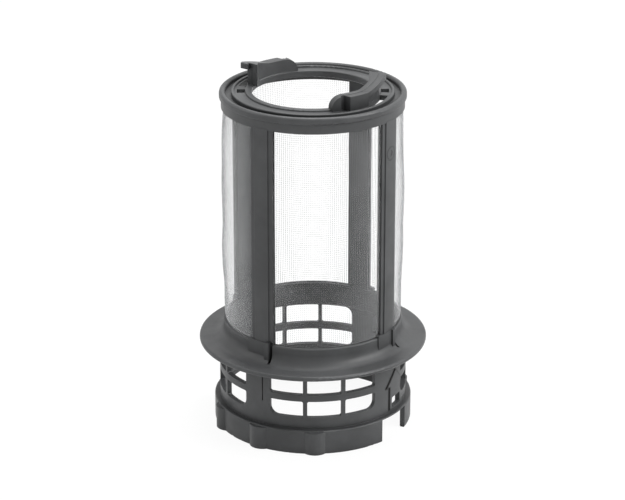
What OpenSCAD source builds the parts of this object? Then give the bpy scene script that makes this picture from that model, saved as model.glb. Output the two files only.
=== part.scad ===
// Cylindrical dishwasher filter: a one-piece moulded frame with four windows of fine woven mesh,
// a bayonet ring with two ramped hooks, a wide seating flange, a slotted cage and a lobed skirt.
// Z = 0 is the bottom edge of the skirt and the Z axis is the axis of the filter.
// An angle of 0 faces the front (-Y) and grows towards +X.

/* [Overall heights] */
// Height of the top face of the bayonet ring
ring_top_z = 139.2; // [130:0.1:150]
// Height of the seating face of the flange
flange_top_z = 36; // [35:0.1:38]
// Height of the rim of the collar, where the mesh windows start
collar_top_z = 43.7; // [42:0.1:50]

/* [Mesh barrel] */
// Outer radius of the barrel wall
barrel_r = 35.9; // [35.6:0.1:37]
// Thickness of the posts and of the band under the ring
barrel_wall = 2.4; // [2.2:0.1:3]
// Number of posts and of mesh windows
post_count = 4; // [3:1:6]
// Angle of the first post
post_angle = -33.8; // [-38:0.1:-30]
// Width of a post along the barrel
post_w = 10; // [7:0.1:12]
// Width of the raised face down the middle of a post
post_face_w = 6.3; // [3:0.1:6.5]
// Height of that face above the post
post_face_h = 0.4; // [0.2:0.1:0.6]
// How far the inner face of a post stands back from the band and the collar
post_inset = 0.2; // [0.1:0.1:0.5]
// Height of the band between the ring and the windows
band_h = 3.8; // [3:0.1:6]

/* [Mesh] */
// Thickness of one strand
strand_t = 0.4; // [0.2:0.05:0.5]
// Width of one strand
strand_w = 1.2; // [0.6:0.1:2]
// Columns of gaps in one window
mesh_columns = 5; // [2:1:5]
// Rows of gaps in one window
mesh_rows = 5; // [2:1:6]
// Depth of the groove that holds the edge of the mesh
groove_d = 1.4; // [0.8:0.1:2]
// Clearance round the mesh in its groove
groove_gap = 0.05; // [0.02:0.01:0.15]

/* [Bayonet ring] */
// Radius of the round hole in the ring
hole_r = 24.1; // [22:0.1:25]
// How far the bead stands out from the barrel
bead_out = 1; // [0.7:0.1:2]
// Width of the bead
bead_w = 2.4; // [2.2:0.1:2.6]
// Rounding of the upper edges of the bead
bead_round_r = 1.05; // [0.5:0.05:1.05]
// Height of the ring from its underside to its top
ring_h = 2.75; // [2.5:0.05:3.5]
// Width of the deep groove inside the bead
deep_groove_w = 2.4; // [1.5:0.1:2.4]
// Depth of the deep groove
deep_groove_d = 1.9; // [1:0.1:2]
// Width of the ridge inside the deep groove
ridge_w = 1.2; // [1:0.1:1.2]
// Width of the lip round the hole
lip_w = 2.5; // [2.3:0.1:2.8]
// Depth of the floor between the ridge and the lip
floor_d = 0.7; // [0.3:0.1:1.2]
// Rounding of the edges of the ring
ring_edge_r = 0.45; // [0.2:0.05:0.7]

/* [Hooks] */
// Angle of the middle of the first hook
hook_angle = 52.6; // [46:0.2:60]
// Height of the high end of a hook above the ring
hook_h = 8.8; // [7:0.1:10]
// Height of the low part of a hook above the ring
hook_low_h = 5.2; // [4:0.1:6]
// Length from the low start of a hook to its high end
hook_len = 20.6; // [18:0.1:22]
// Slope of the ramp in degrees
hook_slope = 15; // [10:0.5:20]
// How far the upright wall stands back from the hole
hook_inset = 0.5; // [0.3:0.1:0.8]
// Thickness of the upright wall of a hook
hook_wall = 2; // [1.8:0.1:2.2]
// Radius of the rounded start of a hook
start_r = 4.8; // [3:0.1:5]
// How far that start stands out from the wall
start_out = 1.2; // [0.6:0.1:2]
// Angle that the thick part of the start spans
start_span = 9; // [6:0.5:12]
// How far the high end of a hook reaches in over the hole
toe_in = 2.7; // [1:0.1:3]
// Length of that toe
toe_len = 7; // [4:0.1:8]
// Reach of the lug beyond the wall
lug_reach = 2.7; // [1.5:0.1:3]
// Thickness of the lug
lug_t = 2.2; // [1.6:0.1:3]
// How far the top of the lug lies below the top of the wall
lug_drop = 0.2; // [0.2:0.1:1]
// Length of the solid root of the lug
lug_root = 8.9; // [5:0.1:10]
// Width of the slots through the ring under a lug
lug_slot_w = 3.2; // [2:0.1:3.6]
// Angle that the long slot spans
long_slot_angle = 31; // [20:1:34]
// Angle that the short slot spans
short_slot_angle = 9; // [4:1:12]
// Angle of the bar between the two slots
slot_bar_angle = 8; // [4:1:10]

/* [Collar and flange] */
// Outer radius of the flange
flange_r = 46; // [44:0.1:50]
// Thickness of the flange
flange_t = 2; // [1.5:0.1:2.5]
// Radius of the fillet between the collar and the flange
collar_fillet_r = 4.6; // [2:0.1:5]
// Height of a post's foot above the rim of the collar
foot_rise = 0.9; // [0.5:0.1:4]
// How far a foot stands out from the collar
foot_out = 0.4; // [0.3:0.1:1]
// Width of a foot along the collar
foot_w = 10.4; // [10:0.1:12]
// Angle from the middle of a post to the middle of its foot
foot_shift = -2.5; // [-4:0.1:0]
// Width of the rib at the end of a foot
foot_rib_w = 2; // [1.2:0.1:3]
// How far that rib stands out from the collar
foot_rib_out = 1.2; // [0.8:0.1:1.6]
// Width of the slot beside a foot
foot_slot_w = 1.1; // [0.8:0.1:2]

/* [Cage] */
// How far the cage stands out from the barrel
cage_out = 2; // [1.6:0.1:2.6]
// Thickness of the cage wall
cage_wall = 2; // [1.6:0.1:2.4]
// Angle where the front group of openings starts
group_start = -26.6; // [-28:0.1:-26]
// Angle where the side group of openings starts
side_group_start = 68.2; // [68:0.1:70]
// Openings side by side in one group
opening_columns = 3; // [1:1:3]
// Width of one opening
opening_w = 13.6; // [8:0.1:13.8]
// Width of the upright bar between two openings
upright_w = 1.8; // [1.2:0.1:2.4]
// Height of the lower row of openings
lower_row_h = 6.9; // [4:0.1:7]
// Height of the upper row of openings
upper_row_h = 8.2; // [5:0.1:8.4]
// Height of the bar between the two rows
crossbar_h = 2.8; // [2:0.1:3.4]
// Radius of the outer corners of a group
group_corner_r = 3.4; // [1:0.1:3.4]
// Radius of the other corners
opening_corner_r = 0.7; // [0.3:0.1:1]
// Angle from the first post to the fine seam below it
seam_shift = 2; // [0:0.1:4]
// Width and depth of that seam
seam_w = 0.5; // [0.3:0.1:0.8]
// Height where that seam starts
seam_z = 20; // [12:1:26]

/* [Skirt] */
// Height of the skirt
skirt_h = 10; // [8:0.1:12]
// How far the skirt stands out from the cage
skirt_out = 2.2; // [1.8:0.1:3]
// Thickness of the skirt
skirt_wall = 2; // [1.6:0.1:2.2]
// Thickness of the shelf that joins the skirt to the cage
shelf_t = 1.8; // [1.2:0.1:2.5]
// How far a lobe stands out from the skirt
lobe_out = 1.7; // [1:0.1:2]
// Width of a lobe
lobe_w = 7.8; // [6:0.1:10]
// Angles between neighbouring lobes
lobe_pitch = 34.6; // [30:0.1:36]
// Lobes in one group
lobe_count = 3; // [1:1:3]
// Angle of the last lobe of the front group
lobe_angle = 1.2; // [-2:0.1:4]
// Angle where the gap in the skirt starts
notch_start = 44; // [43:0.5:46]
// Angle that the gap spans
notch_angle = 24; // [16:0.5:26]
// Height of the latch window above the gap
latch_h = 4.5; // [3:0.1:6]
// Width of the latch window
latch_w = 7; // [4:0.1:8]

/* [Marks] */
// Outer radius of the round mould mark on the right-hand post
mark_r = 2.9; // [1.5:0.1:2.9]
// Height of the middle of that mark
mark_z = 119.6; // [60:0.1:125]

/* [Hidden] */
$fn = 96;
cut = 1;
plastic_grey = [0.36, 0.37, 0.38];
mesh_grey = [0.78, 0.79, 0.80];
edge_r = 0.5;
barrel_in_r = barrel_r - barrel_wall;
mesh_r = barrel_r - barrel_wall / 2;
bead_r = barrel_r + bead_out;
cage_r = barrel_r + cage_out;
skirt_r = cage_r + skirt_out;
ring_base_z = ring_top_z - ring_h;
window_top_z = ring_base_z - band_h;
band_out = 0.3;
post_step = 360 / post_count;
post_half = degrees_of(post_w / 2, barrel_r);
mesh_edge = groove_d - 0.2;
selvedge = 0.1;
strip_gap = 0.05;
mesh_pitch = (post_step - 2 * post_half) / mesh_columns;
row_pitch = (window_top_z - collar_top_z) / mesh_rows;
flange_base_z = flange_top_z - flange_t;
collar_r = barrel_r + 0.3;
opening_top_gap = 1.2;
upper_row_z = flange_base_z - opening_top_gap - upper_row_h;
lower_row_z = upper_row_z - crossbar_h - lower_row_h;
notch_top_z = skirt_h - 0.4;
hook_in_r = hole_r + hook_inset;
hook_r = hook_in_r + hook_wall;
lug_r = hook_r + lug_reach;
hook_end = hook_len / 2;
hook_sink = floor_d + 0.2;
hook_rise = tan(hook_slope);
ramp_start = hook_end - (hook_h - hook_low_h) / hook_rise;
start_angle = hook_angle - asin((hook_end + 1) / hook_in_r);
start_half = asin(start_r / hook_in_r);
fine_step = 0.05;
lug_start = -hook_end - 1.3;
toe_sink = 0.25;
slot_angle = hook_angle - 5.6;
mark_line = 0.5;
mark_dot = 0.4;
mark_depth = 0.2;
overlap = 0.5;
through = 3;
hook_lead = 1.5;
hook_half_span = 60;
lug_sink = 0.8;
slot_clear = 0.1;
start_back = 30;
start_lap = 2;
toe_inset = 0.3;
toe_end_depth = 0.7;
toe_back_depth = 0.5;
foot_root = 0.7;
foot_rib_root = 0.8;
foot_rib_sink = 0.6;
foot_rib_rise = 0.2;
foot_slot_rise = 0.4;
foot_slot_in = 1;
flange_edge_r = 0.8;
fillet_sink = 0.2;
lobe_rise = 0.2;
lobe_short = 0.6;
latch_rise = 1.8;
latch_share = 0.76;
half_turn = [0, 180];

// Angle in degrees of an arc of a given length at a given radius.
function degrees_of(length, radius) = length / radius * 180 / PI;

// Rectangle from one corner to the other, with rounded corners that may be larger at the top.
module soft_rect(low, high, r, top_r) {
    upper = is_undef(top_r) ? r : top_r;
    size = high - low;
    translate(low + [r, 0]) square([size[0] - 2 * r, size[1] - upper]);
    translate(low + [0, r]) square([size[0], size[1] - r - upper]);
    translate(low + [upper, r]) square([size[0] - 2 * upper, size[1] - r]);
    for (x = [low[0] + r, high[0] - r]) translate([x, low[1] + r]) circle(r = r, $fn = 24);
    for (x = [low[0] + upper, high[0] - upper]) translate([x, high[1] - upper]) circle(r = upper, $fn = 24);
}

// Rectangle in the radius and height plane.
module block(r_in, r_out, z_low, z_high) {
    translate([r_in, z_low]) square([r_out - r_in, z_high - z_low]);
}

// Sweeps a section in the radius and height plane between two angles.
module arc(from, to) {
    rotate([0, 0, from - 90]) rotate_extrude(angle = to - from) children();
}

// Puts an upright 2D outline at an angle and pushes it through the wall from r_in to r_out.
module radial(angle, r_in, r_out) {
    rotate([0, 0, angle]) translate([0, -r_in, 0]) rotate([90, 0, 0]) linear_extrude(r_out - r_in) children();
}

// Section of the bayonet ring: bead, deep groove, ridge, shallow floor and lip.
module ring_section() {
    groove_out = bead_r - bead_w;
    groove_in = groove_out - deep_groove_w;
    ridge_in = groove_in - ridge_w;
    soft_rect([groove_out, ring_base_z], [bead_r, ring_top_z], ring_edge_r, bead_round_r);
    soft_rect([ridge_in, ring_base_z], [groove_in, ring_top_z], ring_edge_r);
    soft_rect([hole_r, ring_base_z], [hole_r + lip_w, ring_top_z], ring_edge_r);
    block(hole_r + lip_w / 2, bead_r - bead_w / 2, ring_base_z, ring_top_z - deep_groove_d);
    block(hole_r + lip_w / 2, ridge_in + ridge_w / 2, ring_base_z, ring_top_z - floor_d);
}

// Outline of the wall of a hook seen from the side: a level part and a ramp that climbs to the high end.
module hook_outline(sink) {
    polygon([[-hook_end - hook_lead, -sink], [hook_end, -sink], [hook_end, hook_h], [ramp_start, hook_low_h],
        [-hook_end - hook_lead, hook_low_h]]);
}

// Rounded start of a hook, thicker than the wall up to a short gap before the lug.
module hook_start() {
    middle = hook_low_h - fine_step - start_r;
    intersection() {
        translate([0, 0, ring_top_z]) radial(start_angle, hook_in_r - 2 * cut, hook_r + start_out + cut) {
            translate([0, middle]) circle(r = start_r, $fn = 64);
            translate([-start_r, -hook_sink]) square([2 * start_r, hook_sink + middle]);
        }
        union() {
            arc(start_angle - start_back, start_angle + start_lap)
                block(hook_in_r, hook_r - fine_step, ring_top_z - hook_sink - cut, ring_top_z + hook_h);
            arc(start_angle - start_back, start_angle - start_half + start_span)
                block(hook_in_r, hook_r + start_out, ring_top_z - hook_sink - cut, ring_top_z + hook_h);
        }
    }
}

// Outline of a lug: a slab that follows the top of the wall, with a solid root down to the ring.
module lug_outline() {
    end = hook_end + lug_reach / 2;
    high = hook_h - lug_drop;
    low = hook_low_h - lug_drop;
    root = lug_start + lug_root;
    root_low = low + max(0, root - ramp_start) * hook_rise - lug_t;
    polygon([[lug_start, -hook_sink], [root, -hook_sink], [root, root_low], [hook_end, high - lug_t],
        [end, high - lug_t], [end, high], [hook_end, high], [ramp_start, low], [lug_start, low]]);
}

// Toe of a hook: the inner side of its high end runs straight on, in over the hole.
module hook_toe() {
    back = hook_end - toe_len;
    end = hook_end - 2 * fine_step;
    back_r = sqrt(pow(hook_in_r, 2) - pow(back, 2)) + toe_inset;
    end_r = sqrt(pow(hook_in_r, 2) - pow(end, 2));
    intersection() {
        translate([0, 0, ring_top_z - fine_step]) radial(hook_angle, 0, lug_r) hook_outline(toe_sink);
        rotate([0, 0, hook_angle]) linear_extrude(ring_top_z + 2 * hook_h)
            polygon([[end, toe_in - end_r], [end, -end_r - toe_end_depth], [back, -back_r - toe_back_depth],
                [back, -back_r]]);
    }
}

// One hook with its upright wall, its rounded start, its toe and its lug.
module hook() {
    from = hook_angle - hook_half_span;
    to = hook_angle + hook_half_span;
    intersection() {
        translate([0, 0, ring_top_z]) radial(hook_angle, 0, lug_r + cut) hook_outline(hook_sink);
        arc(from, to) block(hook_in_r, hook_r, ring_top_z - hook_sink - cut, ring_top_z + hook_h + cut);
    }
    intersection() {
        translate([0, 0, ring_top_z]) radial(hook_angle, 0, lug_r + cut) lug_outline();
        arc(from, to) block(hook_r - lug_sink, lug_r, ring_top_z - hook_sink - cut, ring_top_z + hook_h + cut);
    }
    hook_start();
    hook_toe();
}

// Two through slots under a lug, which free the tool that shapes the overhang.
module lug_slots() {
    slot_in = hook_r + slot_clear;
    second = slot_angle + long_slot_angle + slot_bar_angle;
    arc(slot_angle, slot_angle + long_slot_angle)
        block(slot_in, slot_in + lug_slot_w, ring_base_z - cut, ring_top_z + cut);
    arc(second, second + short_slot_angle)
        block(slot_in, slot_in + lug_slot_w, ring_base_z - cut, ring_top_z + cut);
}

// Ring with its band, its slots and two hooks.
module bayonet_ring() {
    difference() {
        rotate_extrude() {
            ring_section();
            block(barrel_in_r, barrel_r + band_out, window_top_z, ring_base_z + overlap);
        }
        for (turn = half_turn) rotate([0, 0, turn]) lug_slots();
    }
    for (turn = half_turn) rotate([0, 0, turn]) hook();
}

// One post: a curved wall with a narrow raised face, and a foot with a rib that runs down over the collar.
module post(angle) {
    face_half = degrees_of(post_face_w / 2, barrel_r);
    foot_half = degrees_of(foot_w / 2, barrel_r);
    foot_end = angle + foot_shift + foot_half;
    rib_angle = degrees_of(foot_rib_w, barrel_r);
    arc(angle - post_half, angle + post_half)
        block(barrel_in_r + post_inset, barrel_r, collar_top_z - 2 * overlap, window_top_z + 2 * overlap);
    arc(angle - face_half, angle + face_half)
        block(barrel_r - overlap, barrel_r + post_face_h, collar_top_z - 2 * overlap, window_top_z + overlap);
    arc(foot_end - 2 * foot_half, foot_end - rib_angle / 2)
        block(barrel_r - foot_root, collar_r + foot_out, flange_top_z - overlap, collar_top_z + foot_rise);
    arc(foot_end - rib_angle, foot_end)
        block(barrel_r - foot_rib_root, collar_r + foot_rib_out, flange_top_z - foot_rib_sink,
            collar_top_z + foot_rise + foot_rib_rise);
}

// Collar and flange in one section, with the fillet between them.
module collar_section() {
    soft_rect([barrel_in_r, flange_base_z], [collar_r, collar_top_z], edge_r);
    soft_rect([collar_r - 2 * edge_r, flange_base_z], [flange_r, flange_top_z], flange_edge_r);
    difference() {
        block(collar_r - edge_r, collar_r + collar_fillet_r, flange_top_z - fillet_sink,
            flange_top_z + collar_fillet_r);
        translate([collar_r + collar_fillet_r, flange_top_z + collar_fillet_r]) circle(r = collar_fillet_r);
    }
}

// Narrow slot through the collar beside the foot of a post.
module foot_slot(angle) {
    middle = angle + foot_shift + degrees_of((foot_w + foot_slot_w) / 2, barrel_r);
    translate([0, 0, flange_top_z + foot_slot_rise]) radial(middle, barrel_in_r + foot_slot_in, barrel_r + through)
        translate([-foot_slot_w / 2, 0]) square([foot_slot_w, collar_top_z - flange_top_z + cut]);
}

// Outline of one opening, with a large corner where it ends a group.
module opening_outline(height, big_corner) {
    half = opening_w / 2;
    difference() {
        soft_rect([-half, 0], [half, height], opening_corner_r);
        if (big_corner[0] != 0) {
            corner_x = big_corner[0] * (half - group_corner_r);
            corner_z = big_corner[1] > 0 ? height - group_corner_r : group_corner_r;
            difference() {
                translate([big_corner[0] > 0 ? corner_x : -half - cut, big_corner[1] > 0 ? corner_z : -cut])
                    square([group_corner_r + cut, group_corner_r + cut]);
                translate([corner_x, corner_z]) circle(r = group_corner_r, $fn = 32);
            }
        }
    }
}

// One group of openings: two rows, with rounded outer corners.
module opening_group(start) {
    step = degrees_of(opening_w + upright_w, cage_r);
    first = start + degrees_of(opening_w / 2, cage_r);
    for (i = [0 : opening_columns - 1]) {
        side = i == 0 ? -1 : i == opening_columns - 1 ? 1 : 0;
        translate([0, 0, upper_row_z]) radial(first + i * step, cage_r - cage_wall - through, cage_r + through)
            opening_outline(upper_row_h, [side, 1]);
        translate([0, 0, lower_row_z]) radial(first + i * step, cage_r - cage_wall - through, cage_r + through)
            opening_outline(lower_row_h, [side, -1]);
    }
}

// Cage wall, shelf and skirt in one section.
module cage_section() {
    block(cage_r - cage_wall, cage_r, skirt_h - shelf_t, flange_base_z + overlap);
    soft_rect([cage_r - cage_wall, skirt_h - shelf_t], [skirt_r, skirt_h], edge_r);
    soft_rect([skirt_r - skirt_wall, 0], [skirt_r, skirt_h], edge_r);
}

// Upright lobe on the outside of the skirt.
module lobe(angle) {
    radius = (pow(lobe_w / 2, 2) + pow(lobe_out, 2)) / (2 * lobe_out);
    rotate([0, 0, angle]) translate([0, -(skirt_r + lobe_out - radius), lobe_rise])
        cylinder(r = radius, h = skirt_h - lobe_short);
}

// Gap in the skirt, from below the bottom edge up to the cage wall.
module notch(angle) {
    arc(angle, angle + notch_angle) block(cage_r - cage_wall - through, skirt_r + through, -cut, notch_top_z);
}

// Small latch window in the wall above the gap.
module latch_window(angle) {
    middle = angle + notch_angle * latch_share;
    translate([0, 0, notch_top_z + latch_rise]) radial(middle, cage_r - cage_wall - through, cage_r + through)
        soft_rect([-latch_w / 2, 0], [latch_w / 2, latch_h], opening_corner_r);
}

// Fine upright seam in the solid part of the cage wall.
module seam(angle) {
    translate([0, 0, seam_z]) radial(angle, cage_r - seam_w, cage_r + through)
        translate([-seam_w / 2, 0]) square([seam_w, flange_base_z - edge_r - seam_z]);
}

// Cage and skirt with every opening cut.
module cage() {
    difference() {
        union() {
            rotate_extrude() cage_section();
            difference() {
                for (turn = half_turn, i = [0 : lobe_count - 1]) lobe(lobe_angle - i * lobe_pitch + turn);
                translate([0, 0, -cut]) cylinder(r = skirt_r - skirt_wall / 2, h = skirt_h + 2 * cut);
            }
        }
        for (turn = half_turn) {
            opening_group(group_start + turn);
            opening_group(side_group_start + turn);
            notch(notch_start + turn);
            latch_window(notch_start + turn);
            seam(post_angle + seam_shift + turn);
        }
    }
}

// Groove round each window, which holds the edges of the mesh.
module mesh_groove() {
    half = post_half - degrees_of(groove_d, barrel_r);
    for (i = [0 : post_count - 1]) {
        angle = post_angle + i * post_step;
        arc(angle + half, angle + post_step - half)
            block(mesh_r - strand_t - groove_gap, mesh_r + strand_t + groove_gap, collar_top_z - groove_d,
                window_top_z + groove_d);
    }
}

// Round mould mark: a shallow ring and a dot pressed into the face of a post.
module mould_mark() {
    mark_in_r = barrel_r + post_face_h - mark_depth;
    translate([0, 0, mark_z]) radial(post_angle + post_step, mark_in_r, barrel_r + through) {
        difference() {
            circle(r = mark_r);
            circle(r = mark_r - mark_line);
        }
        circle(r = mark_r * mark_dot, $fn = 24);
    }
}

module frame() {
    color(plastic_grey) difference() {
        union() {
            bayonet_ring();
            for (i = [0 : post_count - 1]) post(post_angle + i * post_step);
            rotate_extrude() collar_section();
            cage();
        }
        mesh_groove();
        for (i = [0 : post_count - 1]) foot_slot(post_angle + i * post_step);
        mould_mark();
    }
}

// Woven mesh of one window, in upright strips: rows of strands outside and two half columns inside each strip.
module mesh_window(from) {
    half_strand = degrees_of(strand_w / 2, mesh_r);
    edge_angle = degrees_of(mesh_edge, mesh_r);
    gap_angle = degrees_of(strip_gap / 2, mesh_r);
    inset_angle = degrees_of(selvedge, mesh_r);
    low = collar_top_z - mesh_edge;
    high = window_top_z + mesh_edge;
    for (i = [0 : mesh_columns - 1]) {
        left = from + i * mesh_pitch;
        right = left + mesh_pitch;
        left_end = i == 0 ? left - edge_angle : left + gap_angle;
        right_end = i == mesh_columns - 1 ? right + edge_angle : right - gap_angle;
        for (side = [[left_end + inset_angle, left + half_strand], [right - half_strand, right_end - inset_angle]]) {
            arc(side[0], side[1]) block(mesh_r - strand_t, mesh_r + strand_t / 4, low + selvedge, high - selvedge);
        }
        for (j = [0 : mesh_rows]) {
            middle = collar_top_z + j * row_pitch;
            bottom = j == 0 ? low : middle - strand_w / 2;
            top = j == mesh_rows ? high : middle + strand_w / 2;
            arc(left_end, right_end) block(mesh_r - strand_t / 4, mesh_r + strand_t, bottom, top);
        }
    }
}

module mesh() {
    color(mesh_grey) for (i = [0 : post_count - 1]) mesh_window(post_angle + post_half + i * post_step);
}

frame();
mesh();
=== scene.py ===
# Studio picture of a cylindrical dishwasher filter: satin grey moulded frame, fine woven mesh in its windows,
# a pale floor and soft light.
import math
import random

import bmesh
import bpy
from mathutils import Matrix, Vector


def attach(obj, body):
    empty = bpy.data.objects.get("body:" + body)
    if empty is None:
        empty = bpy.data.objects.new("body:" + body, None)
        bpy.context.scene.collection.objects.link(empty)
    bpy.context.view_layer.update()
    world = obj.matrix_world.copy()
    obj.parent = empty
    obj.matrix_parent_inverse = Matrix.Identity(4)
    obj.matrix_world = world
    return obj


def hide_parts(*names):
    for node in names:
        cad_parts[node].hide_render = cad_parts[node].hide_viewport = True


MM = 0.001

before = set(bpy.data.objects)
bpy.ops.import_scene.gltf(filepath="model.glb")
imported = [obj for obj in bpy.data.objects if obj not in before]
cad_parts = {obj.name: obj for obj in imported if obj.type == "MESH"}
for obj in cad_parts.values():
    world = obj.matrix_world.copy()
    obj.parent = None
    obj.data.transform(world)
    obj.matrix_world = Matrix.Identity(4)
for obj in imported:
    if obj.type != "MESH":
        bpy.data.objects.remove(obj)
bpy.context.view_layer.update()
scene = bpy.context.scene


def angle_point(angle, radius, height):
    """A point on the filter in metres, from its angle in degrees (0 is the front), radius and height in mm."""
    turn = math.radians(angle)
    return Vector((radius * math.sin(turn), -radius * math.cos(turn), height)) * MM


# Camera

CAMERA_DISTANCE = 0.940
CAMERA_HEIGHT = 0.4404
CAMERA_SIDE = -0.00016
CAMERA_DOWN = 21.43
LENS = 144.8
SENSOR_WIDTH = 36
CLIP = (0.05, 20)


def make_camera():
    data = bpy.data.cameras.new("camera")
    data.lens = LENS
    data.sensor_width = SENSOR_WIDTH
    data.clip_start, data.clip_end = CLIP
    camera = bpy.data.objects.new("camera", data)
    camera.location = (CAMERA_SIDE, -CAMERA_DISTANCE, CAMERA_HEIGHT)
    camera.rotation_euler = (math.radians(90 - CAMERA_DOWN), 0, 0)
    scene.collection.objects.link(camera)
    scene.camera = camera


# Materials


class Graph:
    """A node material that is built one node at a time."""

    def __init__(self, name):
        self.material = bpy.data.materials.new(name)
        self.material.use_nodes = True
        self.tree = self.material.node_tree
        self.shader = self.tree.nodes["Principled BSDF"]
        self.output = self.tree.nodes["Material Output"]

    def node(self, kind, inputs=None, **settings):
        made = self.tree.nodes.new(kind)
        for key, value in settings.items():
            setattr(made, key, value)
        for key, value in (inputs or {}).items():
            if isinstance(value, bpy.types.NodeSocket):
                self.tree.links.new(value, made.inputs[key])
            else:
                made.inputs[key].default_value = value
        return made

    def link(self, start, end):
        self.tree.links.new(start, end)

    def ramp(self, factor, *stops):
        """Colour ramp from (position, colour) pairs."""
        made = self.node("ShaderNodeValToRGB", {"Fac": factor})
        made.color_ramp.elements[0].position = stops[0][0]
        made.color_ramp.elements[0].color = stops[0][1]
        made.color_ramp.elements[1].position = stops[-1][0]
        made.color_ramp.elements[1].color = stops[-1][1]
        for position, color in stops[1:-1]:
            made.color_ramp.elements.new(position).color = color
        return made.outputs["Color"]

    def math(self, operation, first, second=0.0):
        return self.node("ShaderNodeMath", {0: first, 1: second}, operation=operation).outputs["Value"]

    def vector(self, operation, first, second=(0, 0, 0)):
        made = self.node("ShaderNodeVectorMath", {0: first, 1: second}, operation=operation)
        return made.outputs["Value" if operation in ("DOT_PRODUCT", "LENGTH") else "Vector"]

    def mix(self, blend, factor, first, second):
        inputs = {0: factor, 6: first, 7: second}
        made = self.node("ShaderNodeMix", inputs, data_type="RGBA", blend_type=blend)
        return made.outputs[2]


def grey(value, warm=0.0):
    return (value * (1 + warm), value, value * (1 - warm), 1)


CREASE_INNER = 0.3
CREASE_OUTER = 0.7
CREASE_SKIN = 0.2


def arrow_groove_and_shadow_mask(g, place):
    """Mask that is 1 along the outline of the moulded arrow on the cage and 0 elsewhere. It sets a bump groove
    and a painted shadow line there.
    """
    parts = g.node("ShaderNodeSeparateXYZ", {"Vector": place})
    depth = g.math("MULTIPLY", parts.outputs["Y"], -1.0)
    turn = g.math("ARCTAN2", parts.outputs["X"], depth)
    side = g.math("MULTIPLY", g.math("SUBTRACT", turn, math.radians(ARROW_ANGLE)), CAGE_R * MM)
    here = g.node("ShaderNodeCombineXYZ", {"X": side, "Y": parts.outputs["Z"]}).outputs["Vector"]
    nearest = None
    for start, end in zip(ARROW_OUTLINE, ARROW_OUTLINE[1:]):
        start_point = (start[0] * MM, start[1] * MM, 0)
        way = ((end[0] - start[0]) * MM, (end[1] - start[1]) * MM, 0)
        offset = g.vector("SUBTRACT", here, start_point)
        along = g.math("DIVIDE", g.vector("DOT_PRODUCT", offset, way), way[0] ** 2 + way[1] ** 2)
        along.node.use_clamp = True
        foot = g.node("ShaderNodeVectorMath", {0: way, "Scale": along}, operation="SCALE").outputs["Vector"]
        gap = g.vector("LENGTH", g.vector("SUBTRACT", offset, foot))
        nearest = gap if nearest is None else g.math("MINIMUM", nearest, gap)
    fade = {"Value": nearest, "From Min": CREASE_INNER * MM, "From Max": CREASE_OUTER * MM,
            "To Min": 1.0, "To Max": 0.0}
    line = g.node("ShaderNodeMapRange", fade).outputs["Result"]
    radius = g.vector("LENGTH", g.vector("MULTIPLY", place, (1, 1, 0)))
    outside = g.math("GREATER_THAN", radius, (CAGE_R - CREASE_SKIN) * MM)
    return g.math("MULTIPLY", line, outside)


PLASTIC_DARK = grey(0.038, -0.03)
PLASTIC_LIGHT = grey(0.056, -0.03)
PLASTIC_ROUGH = (0.38, 0.5)
PLASTIC_IOR = 1.49
PLASTIC_SHINE = 0.35
# Painted shadow: near-black colour laid along the arrow's outline.
ARROW_PAINTED_SHADOW = grey(0.012)
CREASE_DEPTH = 3.0
EDGE_ROUND = 0.3
PAINTED_SHADE_REACH = 4.0


def plastic_material():
    """Satin grey moulding, with soft cloudy tone, rounded edges, painted shade in its corners and creases, and
    a painted shadow line along the arrow's outline.
    """
    g = Graph("moulded_plastic")
    place = g.node("ShaderNodeTexCoord").outputs["Object"]
    cloud = g.node("ShaderNodeTexNoise", {"Vector": place, "Scale": 45, "Detail": 4, "Roughness": 0.6})
    grain = g.node("ShaderNodeTexNoise", {"Vector": place, "Scale": 2600, "Detail": 3, "Roughness": 0.6})
    flow = g.node("ShaderNodeTexNoise", {"Vector": place, "Scale": 160, "Detail": 3, "Roughness": 0.5})
    color = g.ramp(cloud.outputs["Fac"], (0.35, PLASTIC_DARK), (0.65, PLASTIC_LIGHT))
    rounded = g.node("ShaderNodeBevel", {"Radius": EDGE_ROUND * MM}, samples=6).outputs["Normal"]
    # Painted shade: ambient occlusion darkens the colour in corners, creases and recesses, where shade falls.
    shade = g.node("ShaderNodeAmbientOcclusion",
                   {"Color": color, "Distance": PAINTED_SHADE_REACH * MM, "Normal": rounded}, samples=8)
    painted_corner_shade = g.ramp(shade.outputs["AO"], (0.15, grey(0.45)), (0.9, grey(1.0)))
    shaded = g.mix("MULTIPLY", 1.0, color, painted_corner_shade)
    # Painted shadow line along the arrow's outline, darkening the colour where shade falls at its raised edge;
    # the same mask also cuts a bump groove.
    groove_and_shadow_line = arrow_groove_and_shadow_mask(g, place)
    with_painted_shadow_line = g.mix("MIX", groove_and_shadow_line, shaded, ARROW_PAINTED_SHADOW)
    g.link(with_painted_shadow_line, g.shader.inputs["Base Color"])
    rough = g.node("ShaderNodeMapRange", {"Value": flow.outputs["Fac"], "From Min": 0.3, "From Max": 0.7,
                                          "To Min": PLASTIC_ROUGH[0], "To Max": PLASTIC_ROUGH[1]})
    g.link(rough.outputs["Result"], g.shader.inputs["Roughness"])
    skin = g.math("ADD", grain.outputs["Fac"], flow.outputs["Fac"])
    height = g.math("SUBTRACT", skin, g.math("MULTIPLY", groove_and_shadow_line, CREASE_DEPTH))
    bump = g.node("ShaderNodeBump",
                  {"Strength": 0.12, "Distance": 0.0001, "Height": height, "Normal": rounded})
    g.link(bump.outputs["Normal"], g.shader.inputs["Normal"])
    g.shader.inputs["IOR"].default_value = PLASTIC_IOR
    g.shader.inputs["Specular IOR Level"].default_value = PLASTIC_SHINE
    return g.material


THREAD_ALPHA = 0.18
THREAD_DARK = grey(0.58, -0.01)
THREAD_LIGHT = grey(0.72, -0.01)
THREAD_ROUGH = (0.4, 0.6)
FIBRE_SHARE = 0.3
CLOUD_SHARE = 0.7


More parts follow.
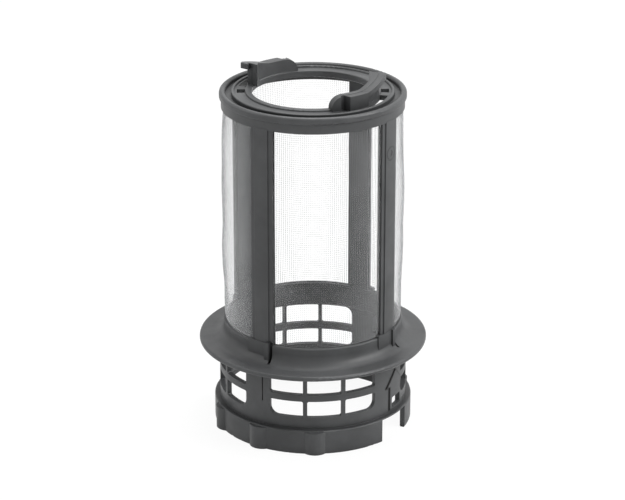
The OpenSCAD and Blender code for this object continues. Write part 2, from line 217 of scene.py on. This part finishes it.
def mesh_material():
    """Clear nylon thread, which lets most of the light through."""
    g = Graph("woven_nylon")
    place = g.node("ShaderNodeTexCoord").outputs["Object"]
    cloud = g.node("ShaderNodeTexNoise", {"Vector": place, "Scale": 70, "Detail": 3, "Roughness": 0.6})
    fibre = g.node("ShaderNodeTexNoise", {"Vector": place, "Scale": 5200, "Detail": 2, "Roughness": 0.7})
    broad = g.math("MULTIPLY", cloud.outputs["Fac"], CLOUD_SHARE)
    tone = g.math("ADD", broad, g.math("MULTIPLY", fibre.outputs["Fac"], FIBRE_SHARE))
    color = g.ramp(tone, (0.3, THREAD_DARK), (0.7, THREAD_LIGHT))
    g.link(color, g.shader.inputs["Base Color"])
    rough = g.node("ShaderNodeMapRange",
                   {"Value": fibre.outputs["Fac"], "To Min": THREAD_ROUGH[0], "To Max": THREAD_ROUGH[1]})
    g.link(rough.outputs["Result"], g.shader.inputs["Roughness"])
    bump = g.node("ShaderNodeBump", {"Strength": 0.2, "Distance": 0.00003, "Height": fibre.outputs["Fac"]})
    g.link(bump.outputs["Normal"], g.shader.inputs["Normal"])
    g.shader.inputs["Alpha"].default_value = THREAD_ALPHA
    return g.material


# Woven mesh, moulded into the frame at its edges

MESH_R = 34.7
POST_ANGLE = -33.8
POST_STEP = 90
POST_HALF = 7.98
WINDOW_START = POST_ANGLE + POST_HALF
WINDOW_SPAN = POST_STEP - 2 * POST_HALF
WINDOW_LOW = 43.7
WINDOW_HIGH = 132.65
TUCK = 1.15
STRAND_PITCH = 0.8
COLUMN_SIZE = (0.05, 0.4)
ROW_SIZE = (0.06, 0.1)
STRAND_OVERLAP = 0.4
RIPPLES = 7
RANDOM_SEED = 40
ROW_STEPS = 20
COLUMN_STEPS = 15
BULGE = 1.6


class Weave:
    """One window of woven mesh, as square strands that bulge a little between the posts."""

    def __init__(self, index):
        self.start = WINDOW_START + POST_STEP * index
        draw = random.Random(RANDOM_SEED + index).uniform
        self.waves = [(draw(0.5, 2.4), draw(0.8, 4.2), draw(0, 6.28), draw(0.05, 0.13))
                      for _ in range(RIPPLES)]
        self.points = []
        self.faces = []

    def swell(self, u, v):
        """How far the cloth stands out at a place in its window, in mm."""
        if not (0 < u < 1 and 0 < v < 1):
            return 0.0
        hold = (math.sin(math.pi * u) ** 0.5) * (math.sin(math.pi * v) ** 0.3)
        ripple = sum(size * math.sin(6.28 * (a * u + b * v) + phase) for a, b, phase, size in self.waves)
        return hold * (BULGE + ripple)

    def corners(self, u, v, size, lift, across):
        """The four corners of a strand's section at one place."""
        angle = self.start + u * WINDOW_SPAN
        height = WINDOW_LOW + v * (WINDOW_HIGH - WINDOW_LOW)
        radius = MESH_R + lift + self.swell(u, v)
        half_w = size[0] / 2
        turn = math.degrees(half_w / radius)
        made = []
        for side, out in ((-1, -1), (1, -1), (1, 1), (-1, 1)):
            r = radius + out * size[1] / 2
            if across:
                made.append(angle_point(angle, r, height + side * half_w))
            else:
                made.append(angle_point(angle + side * turn, r, height))
        return made

    def strand(self, path, size, lift, across):
        base = len(self.points)
        for u, v in path:
            self.points.extend(self.corners(u, v, size, lift, across))
        for i in range(len(path) - 1):
            low = base + 4 * i
            for k in range(4):
                n = (k + 1) % 4
                quad = (low + k, low + n, low + 4 + n, low + 4 + k)
                self.faces.append(quad if across else quad[::-1])
        end = base + 4 * (len(path) - 1)
        first = (base + 3, base + 2, base + 1, base)
        last = (end, end + 1, end + 2, end + 3)
        self.faces.append(first if across else first[::-1])
        self.faces.append(last if across else last[::-1])

    def build(self, name, material):
        arc = math.radians(WINDOW_SPAN) * MESH_R
        tall = WINDOW_HIGH - WINDOW_LOW
        tuck_u = TUCK / arc
        tuck_v = TUCK / tall
        down = [-tuck_v + (1 + 2 * tuck_v) * spread(j / COLUMN_STEPS) for j in range(COLUMN_STEPS + 1)]
        along = [-tuck_u + (1 + 2 * tuck_u) * spread(i / ROW_STEPS) for i in range(ROW_STEPS + 1)]
        columns = round((arc + 2 * TUCK) / STRAND_PITCH)
        rows = round((tall + 2 * TUCK) / STRAND_PITCH)
        for i in range(columns + 1):
            u = -tuck_u + (1 + 2 * tuck_u) * i / columns
            self.strand([(u, v) for v in down], COLUMN_SIZE, -COLUMN_SIZE[1] * STRAND_OVERLAP, False)
        for j in range(rows + 1):
            v = -tuck_v + (1 + 2 * tuck_v) * j / rows
            self.strand([(u, v) for u in along], ROW_SIZE, ROW_SIZE[1] * STRAND_OVERLAP, True)
        mesh = bpy.data.meshes.new(name)
        mesh.from_pydata(self.points, [], self.faces)
        mesh.materials.append(material)
        piece = bpy.data.objects.new(name, mesh)
        scene.collection.objects.link(piece)
        return piece, ((arc + 2 * TUCK) * MM, (tall + 2 * TUCK) * MM)


def spread(t):
    """Puts more of the steps near the two held edges, where the cloth turns fastest."""
    return t - 0.09 * math.sin(2 * math.pi * t)


def make_cloth():
    material = mesh_material()
    for index, side in enumerate(("front", "right", "back", "left")):
        piece, flat = Weave(index).build("cloth_" + side, material)
        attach(piece, "root")
        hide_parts("mesh")


# Moulded arrow on the cage

CAGE_R = 37.9
ARROW_ANGLE = 60
ARROW_OUTLINE = [(-4.2, 11.0), (-4.2, 21.0), (-6.5, 21.0), (0, 27.9), (5.2, 22.4), (5.2, 21.0), (4.2, 21.0),
                 (4.2, 16.5)]
ARROW_FOOT = [(-2.5, 16.5), (-2.5, 11.0)]
ARROW_RISE = 0.4
ARROW_SINK = 0.3
ARROW_EDGE = 0.15
ARROW_CUTS = 6


def make_arrow(material):
    """Raised arrow, drawn flat and then wrapped round the cage wall."""
    work = bmesh.new()
    ring = [work.verts.new((x, y, -ARROW_SINK)) for x, y in ARROW_OUTLINE + ARROW_FOOT]
    face = work.faces.new(ring[::-1])
    lifted = bmesh.ops.extrude_face_region(work, geom=[face])["geom"]
    top = [item for item in lifted if isinstance(item, bmesh.types.BMVert)]
    bmesh.ops.translate(work, verts=top, vec=(0, 0, ARROW_SINK + ARROW_RISE))
    rim = [edge for edge in work.edges if all(vert in top for vert in edge.verts)]
    bmesh.ops.bevel(work, geom=rim, offset=ARROW_EDGE, segments=2, affect="EDGES")
    for step in range(-ARROW_CUTS, ARROW_CUTS):
        geom = work.verts[:] + work.edges[:] + work.faces[:]
        bmesh.ops.bisect_plane(work, geom=geom, plane_co=(step, 0, 0), plane_no=(1, 0, 0))
    for vert in work.verts:
        side, height, rise = vert.co
        vert.co = angle_point(ARROW_ANGLE + math.degrees(side / CAGE_R), CAGE_R + rise, height)
    bmesh.ops.recalc_face_normals(work, faces=work.faces[:])
    mesh = bpy.data.meshes.new("arrow")
    work.to_mesh(mesh)
    work.free()
    mesh.materials.append(material)
    piece = bpy.data.objects.new("arrow", mesh)
    scene.collection.objects.link(piece)
    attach(piece, "root")


# Stage and light

WORLD_LIGHT = 0.52
FLOOR_GLOW = 0.93
FLOOR_SIZE = 6.0
FLOOR_GREY = grey(0.9)
FLOOR_ROUGH = 0.9
WHITE = (1, 1, 1, 1)
AIM = (0, 0, 0.08)


def seen_directly(g):
    """1 for rays that show the background to the camera, straight or through a mirror or glass."""
    path = g.node("ShaderNodeLightPath")
    mirrored = g.math("MAXIMUM", path.outputs["Is Glossy Ray"], path.outputs["Is Transmission Ray"])
    return g.math("MAXIMUM", path.outputs["Is Camera Ray"], mirrored)


class WorldGraph(Graph):
    """The world's nodes, built the same way as a material's."""

    def __init__(self, world):
        world.use_nodes = True
        self.tree = world.node_tree
        self.shader = self.tree.nodes["Background"]


def make_stage():
    mesh = bpy.data.meshes.new("floor")
    work = bmesh.new()
    bmesh.ops.create_grid(work, x_segments=1, y_segments=1, size=FLOOR_SIZE)
    work.to_mesh(mesh)
    work.free()
    floor = bpy.data.objects.new("floor", mesh)
    scene.collection.objects.link(floor)
    g = Graph("pale_floor")
    g.shader.inputs["Base Color"].default_value = FLOOR_GREY
    g.shader.inputs["Roughness"].default_value = FLOOR_ROUGH
    glow = g.node("ShaderNodeEmission", {"Color": WHITE, "Strength": 1.0})
    share = g.math("MULTIPLY", seen_directly(g), FLOOR_GLOW)
    blend = g.node("ShaderNodeMixShader",
                   {0: share, 1: g.shader.outputs["BSDF"], 2: glow.outputs["Emission"]})
    g.link(blend.outputs["Shader"], g.output.inputs["Surface"])
    mesh.materials.append(g.material)
    world = bpy.data.worlds.new("studio")
    scene.world = world
    w = WorldGraph(world)
    w.shader.inputs["Color"].default_value = WHITE
    level = w.node("ShaderNodeMapRange", {"Value": seen_directly(w), "To Min": WORLD_LIGHT, "To Max": 1.0})
    w.link(level.outputs["Result"], w.shader.inputs["Strength"])


def area_light(name, place, size, power):
    data = bpy.data.lights.new(name, "AREA")
    data.shape = "RECTANGLE"
    data.size, data.size_y = size
    data.energy = power
    lamp = bpy.data.objects.new(name, data)
    lamp.location = place
    lamp.rotation_euler = (Vector(AIM) - Vector(place)).to_track_quat("-Z", "Y").to_euler()
    scene.collection.objects.link(lamp)


make_camera()
make_stage()
area_light("key", (1.0, -0.25, 0.9), (0.7, 0.7), 17)
area_light("fill", (-0.9, 0.0, 0.7), (0.6, 0.8), 3)
area_light("top", (0.1, 0.3, 1.2), (0.8, 0.6), 14)

scene.view_settings.view_transform = "Standard"
plastic = plastic_material()
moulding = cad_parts["frame"]
moulding.data.materials.clear()
moulding.data.materials.append(plastic)
make_arrow(plastic)
make_cloth()
